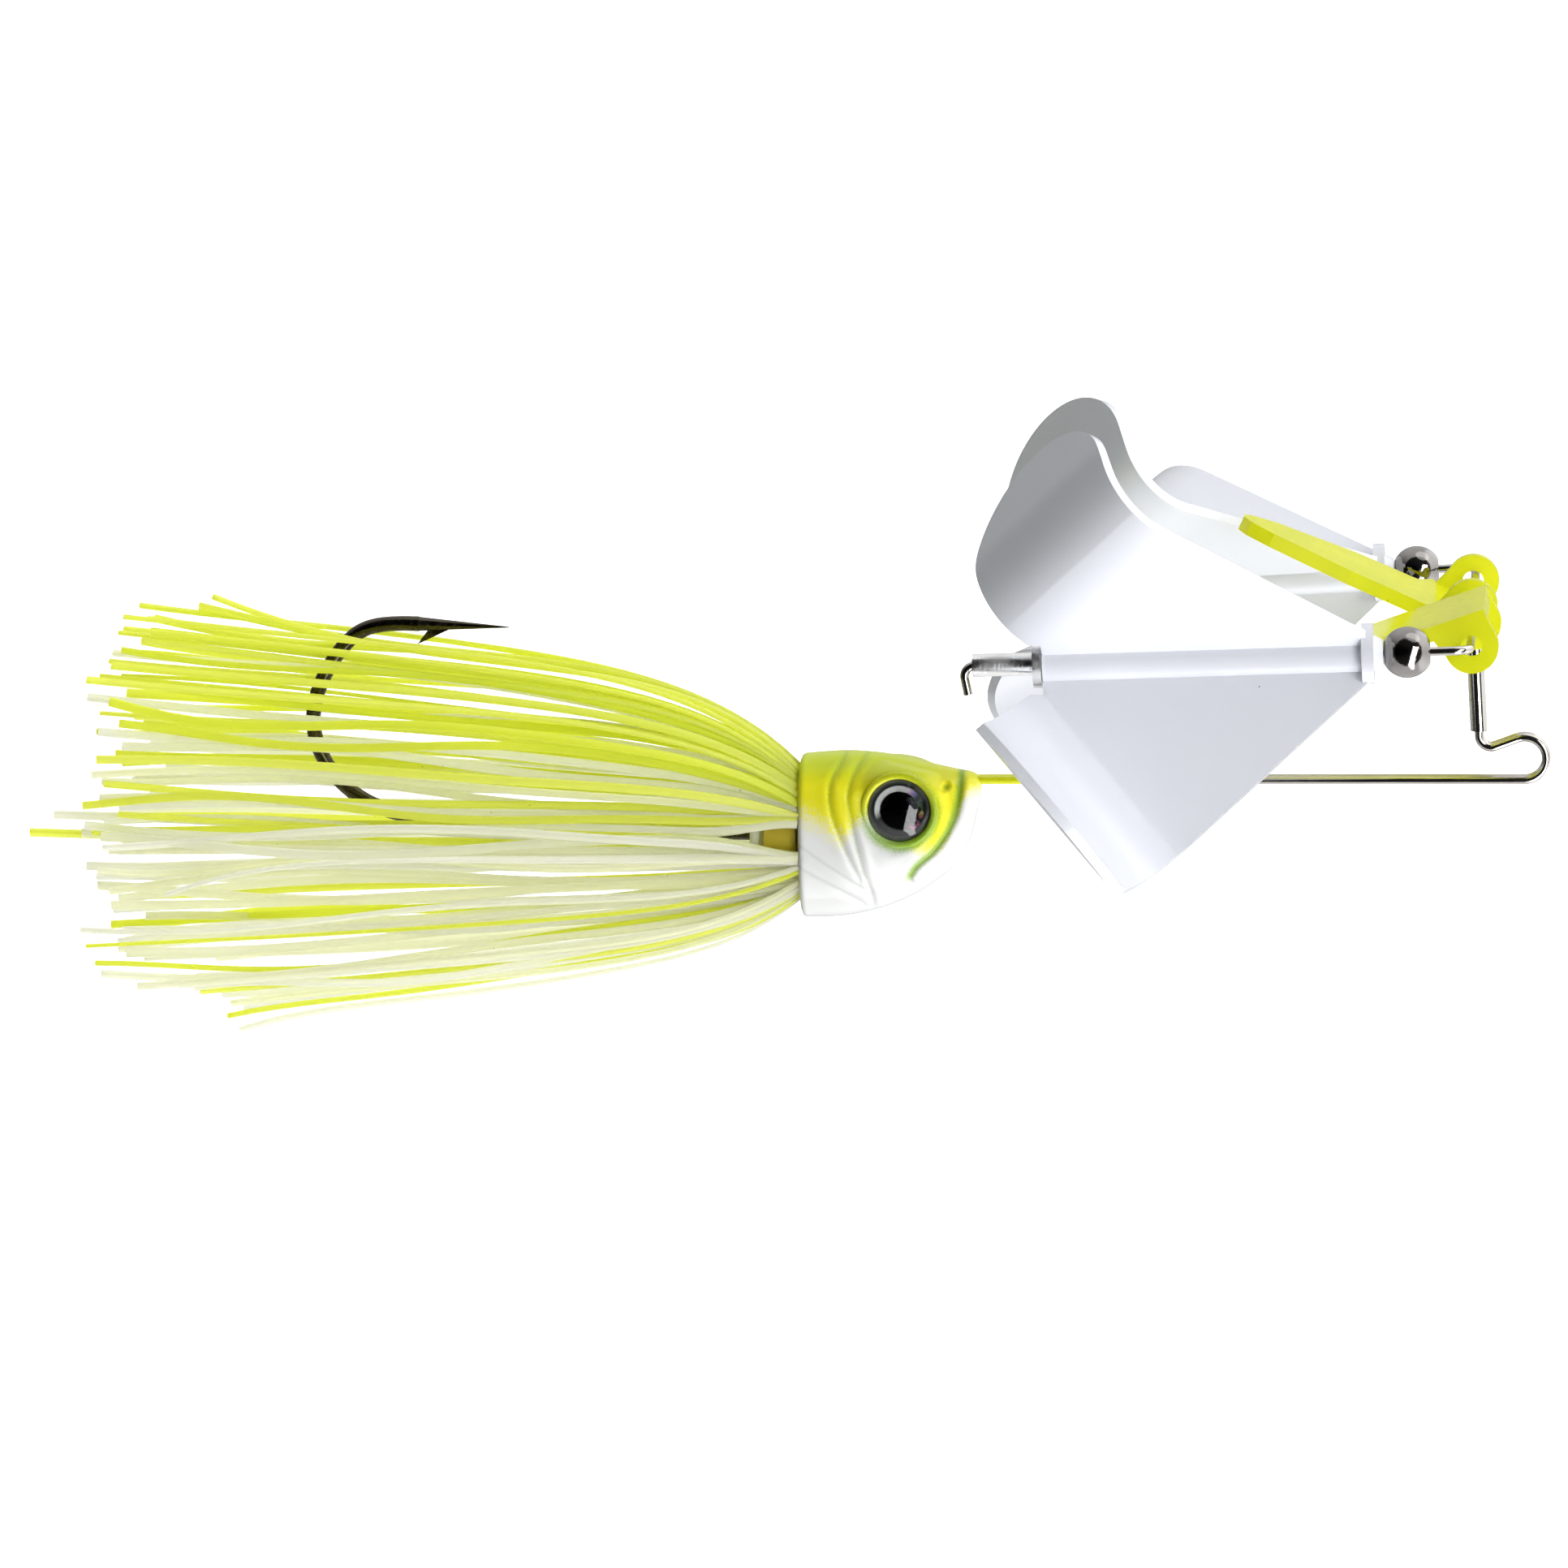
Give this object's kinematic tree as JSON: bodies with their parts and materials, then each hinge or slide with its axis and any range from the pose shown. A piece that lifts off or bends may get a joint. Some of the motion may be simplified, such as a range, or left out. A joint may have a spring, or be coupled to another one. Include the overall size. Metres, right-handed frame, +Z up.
{
  "type": "twin-blade buzzbait",
  "caption": "Bent-wire fishing lure with a fish-head jig and skirt below, and twin spinning winged blades with swinging clackers on the arms above.",
  "frame": {"origin": "centre of the line-tie bend, where the line pulls", "axes": "+X forward, the direction of tow; +Z up, towards the blades and the hook point"},
  "size_m": [0.1536, 0.0954, 0.066],
  "materials": {
    "hook_finish": "black nickel plated",
    "head_paint": "chartreuse back fading to pearl white belly, clear coated",
    "band_rubber": "amber rubber",
    "wire_steel": "bright drawn stainless",
    "sleeve_steel": "polished crimp tube",
    "bead_plating": "nickel plated",
    "blade_plastic": "glossy white",
    "rivet_aluminium": "bare, crimped",
    "clacker_plastic": "translucent chartreuse",
    "eye_foil": "silver foil",
    "eye_black": "gloss black",
    "eye_clear": "clear resin dome",
    "skirt_chartreuse": "silicone strands, chartreuse",
    "skirt_white": "silicone strands, white"
  },
  "bodies": {
    "lure": {"hook": "hook_finish", "head": "head_paint", "skirt_band": "band_rubber", "wire_near": "wire_steel", "wire_far": "wire_steel", "sleeve": "sleeve_steel", "rivet_near": "rivet_aluminium", "rivet_far": "rivet_aluminium", "eye_iris_near": "eye_foil", "eye_pupil_near": "eye_black", "eye_lens_near": "eye_clear", "skirt_upper_near": "skirt_chartreuse", "skirt_lower_near": "skirt_white", "eye_iris_far": "eye_foil", "eye_pupil_far": "eye_black", "eye_lens_far": "eye_clear", "skirt_upper_far": "skirt_chartreuse", "skirt_lower_far": "skirt_white"},
    "blade_near": {"blade_near": "blade_plastic"},
    "blade_far": {"blade_far": "blade_plastic"},
    "bead_near": {"bead_near": "bead_plating"},
    "bead_far": {"bead_far": "bead_plating"},
    "clacker_near": {"clacker_near": "clacker_plastic"},
    "clacker_far": {"clacker_far": "clacker_plastic"}
  },
  "joints": [
    {"name": "blade_near_spin", "type": "hinge", "parent": "lure", "child": "blade_near", "pos_m": [-0.0052, -0.026, 0.0151], "axis": [0.9996, 0, 0.0297], "continuous": true},
    {"name": "bead_near_spin", "type": "hinge", "parent": "lure", "child": "bead_near", "pos_m": [-0.0052, -0.026, 0.0151], "axis": [0.9996, 0, 0.0297], "continuous": true},
    {"name": "clacker_near_swing", "type": "hinge", "parent": "lure", "child": "clacker_near", "pos_m": [-0.0052, -0.012, 0.0151], "axis": [0, 1, 0], "range_deg": [-50, 95]},
    {"name": "blade_far_spin", "type": "hinge", "parent": "lure", "child": "blade_far", "pos_m": [-0.0052, 0.026, 0.0159], "axis": [0.9986, 0, 0.0523], "continuous": true},
    {"name": "bead_far_spin", "type": "hinge", "parent": "lure", "child": "bead_far", "pos_m": [-0.0052, 0.026, 0.0159], "axis": [0.9986, 0, 0.0523], "continuous": true},
    {"name": "clacker_far_swing", "type": "hinge", "parent": "lure", "child": "clacker_far", "pos_m": [-0.0052, 0.012, 0.0159], "axis": [0, 1, 0], "range_deg": [-90, 50]}
  ]
}
